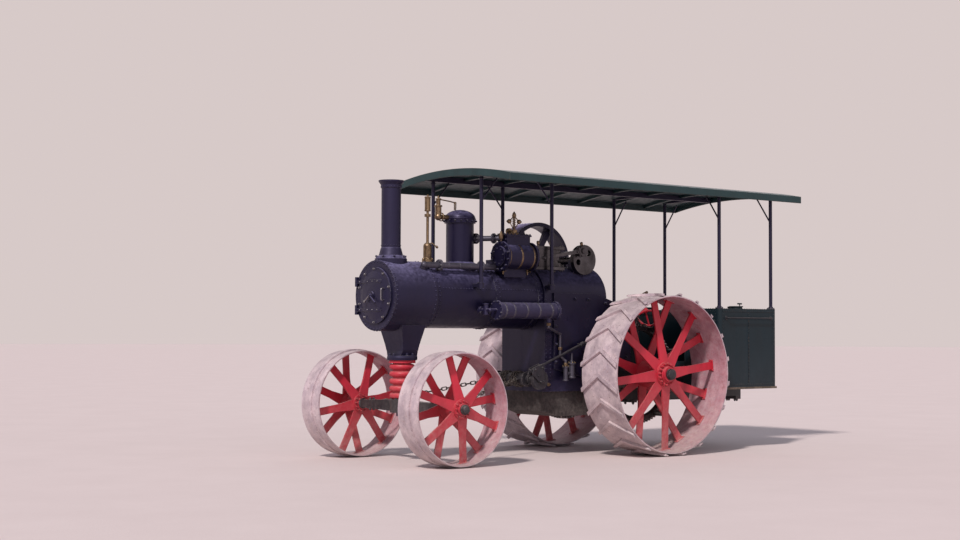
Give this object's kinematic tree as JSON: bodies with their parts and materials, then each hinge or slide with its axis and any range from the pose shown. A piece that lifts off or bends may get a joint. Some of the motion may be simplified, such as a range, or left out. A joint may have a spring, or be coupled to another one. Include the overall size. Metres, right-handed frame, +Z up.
{
  "type": "steam traction engine",
  "caption": "Steam traction engine with a full-length canopy, riveted boiler, tall chimney, spoked flywheel, geared drive and ribbed steel wheels",
  "frame": {"origin": "on the ground, below the middle of the whole engine's outline in plan", "axes": "+X forward towards the smokebox, +Y to the engine's left, +Z up"},
  "size_m": [5.835, 2.45, 3.163],
  "materials": {
    "black_paint": "gloss black, slightly blue",
    "green_paint": "gloss dark green",
    "red_paint": "satin red",
    "worn_steel": "worn and dusty",
    "bright_steel": "polished",
    "dark_iron": "oily cast iron",
    "brass": "aged brass",
    "pipe_metal": "dull pipe",
    "timber": "worn planks"
  },
  "bodies": {
    "engine": {"boiler_barrel": "black_paint", "smokebox": "black_paint", "firebox": "black_paint", "ash_pan": "dark_iron", "side_plates": "black_paint", "chimney": "black_paint", "dome": "black_paint", "dome_valve": "brass", "whistle": "brass", "cylinder": "black_paint", "guide_bars": "bright_steel", "crank_pedestal": "black_paint", "governor": "brass", "steam_pipes": "pipe_metal", "feed_heater": "black_paint", "feed_pump": "brass", "backhead_fittings": "brass", "front_pedestal": "black_paint", "steering_gear": "dark_iron", "steering_chains": "dark_iron", "rear_axle": "dark_iron", "platform": "timber", "side_tanks": "green_paint", "coal_bunker": "green_paint", "drawbar": "dark_iron", "canopy_roof": "green_paint", "canopy_posts": "black_paint"},
    "front_axle": {"front_axle": "dark_iron", "axle_springs": "red_paint"},
    "front_wheel_left": {"front_wheel_left": "red_paint"},
    "front_wheel_right": {"front_wheel_right": "red_paint"},
    "rear_wheel_left": {"rear_wheel_left": "red_paint", "bull_gear_left": "dark_iron"},
    "rear_wheel_right": {"rear_wheel_right": "red_paint", "bull_gear_right": "dark_iron"},
    "crankshaft": {"crankshaft": "bright_steel", "flywheel": "black_paint"},
    "crosshead": {"crosshead": "bright_steel"},
    "connecting_rod": {"connecting_rod": "bright_steel"},
    "countershaft_left": {"countershaft_left": "dark_iron"},
    "countershaft_right": {"countershaft_right": "dark_iron"},
    "idler_gear": {"idler_gear": "dark_iron"},
    "clutch_pinion": {"clutch_pinion": "dark_iron"},
    "smokebox_door": {"smokebox_door": "black_paint"},
    "fire_door": {"fire_door": "dark_iron"}
  },
  "joints": [
    {"name": "steering", "type": "hinge", "parent": "engine", "child": "front_axle", "pos_m": [2.3225, 0, 0.595], "axis": [0, 0, 1], "range_deg": [-28, 28], "deforming": ["steering_chains"]},
    {"name": "front_wheel_left_spin", "type": "hinge", "parent": "front_axle", "child": "front_wheel_left", "pos_m": [2.3225, 0.9, 0.595], "axis": [0, 1, 0], "continuous": true},
    {"name": "front_wheel_right_spin", "type": "hinge", "parent": "front_axle", "child": "front_wheel_right", "pos_m": [2.3225, -0.9, 0.595], "axis": [0, 1, 0], "continuous": true},
    {"name": "rear_wheel_left_spin", "type": "hinge", "parent": "engine", "child": "rear_wheel_left", "pos_m": [-0.5475, 0.945, 0.915], "axis": [0, 1, 0], "continuous": true},
    {"name": "rear_wheel_right_spin", "type": "hinge", "parent": "engine", "child": "rear_wheel_right", "pos_m": [-0.5475, -0.945, 0.915], "axis": [0, 1, 0], "continuous": true},
    {"name": "crank_spin", "type": "hinge", "parent": "engine", "child": "crankshaft", "pos_m": [-0.0275, 0, 2.215], "axis": [0, 1, 0], "continuous": true},
    {"name": "crosshead_slide", "type": "slide", "parent": "engine", "child": "crosshead", "axis": [1, 0, 0], "range_m": [-0.18, 0.058]},
    {"name": "rod_swing", "type": "hinge", "parent": "crosshead", "child": "connecting_rod", "pos_m": [0.65349, 0.345, 2.215], "axis": [0, 1, 0], "range_deg": [-20.2, 2]},
    {"name": "countershaft_left_spin", "type": "hinge", "parent": "engine", "child": "countershaft_left", "pos_m": [-0.4375, 0.3, 1.57794], "axis": [0, 1, 0], "continuous": true},
    {"name": "countershaft_right_spin", "type": "hinge", "parent": "engine", "child": "countershaft_right", "pos_m": [-0.4375, -0.3, 1.57794], "axis": [0, 1, 0], "continuous": true},
    {"name": "idler_spin", "type": "hinge", "parent": "engine", "child": "idler_gear", "pos_m": [-0.2434, -0.433, 2.04306], "axis": [0, 1, 0], "continuous": true},
    {"name": "clutch_pinion_spin", "type": "hinge", "parent": "engine", "child": "clutch_pinion", "pos_m": [-0.0275, -0.433, 2.215], "axis": [0, 1, 0], "continuous": true},
    {"name": "smokebox_door_swing", "type": "hinge", "parent": "engine", "child": "smokebox_door", "pos_m": [2.6945, -0.326, 1.765], "axis": [0, 0, -1], "range_deg": [0, 110]},
    {"name": "fire_door_swing", "type": "hinge", "parent": "engine", "child": "fire_door", "pos_m": [-0.3315, 0.232, 1.145], "axis": [0, 0, -1], "range_deg": [0, 95]}
  ],
  "couplings": [
    {"joint": "countershaft_left_spin", "follows": "rear_wheel_left_spin", "ratio": -5},
    {"joint": "countershaft_right_spin", "follows": "rear_wheel_right_spin", "ratio": -5},
    {"joint": "idler_spin", "follows": "rear_wheel_right_spin", "ratio": 10},
    {"joint": "clutch_pinion_spin", "follows": "rear_wheel_right_spin", "ratio": -15.556}
  ]
}
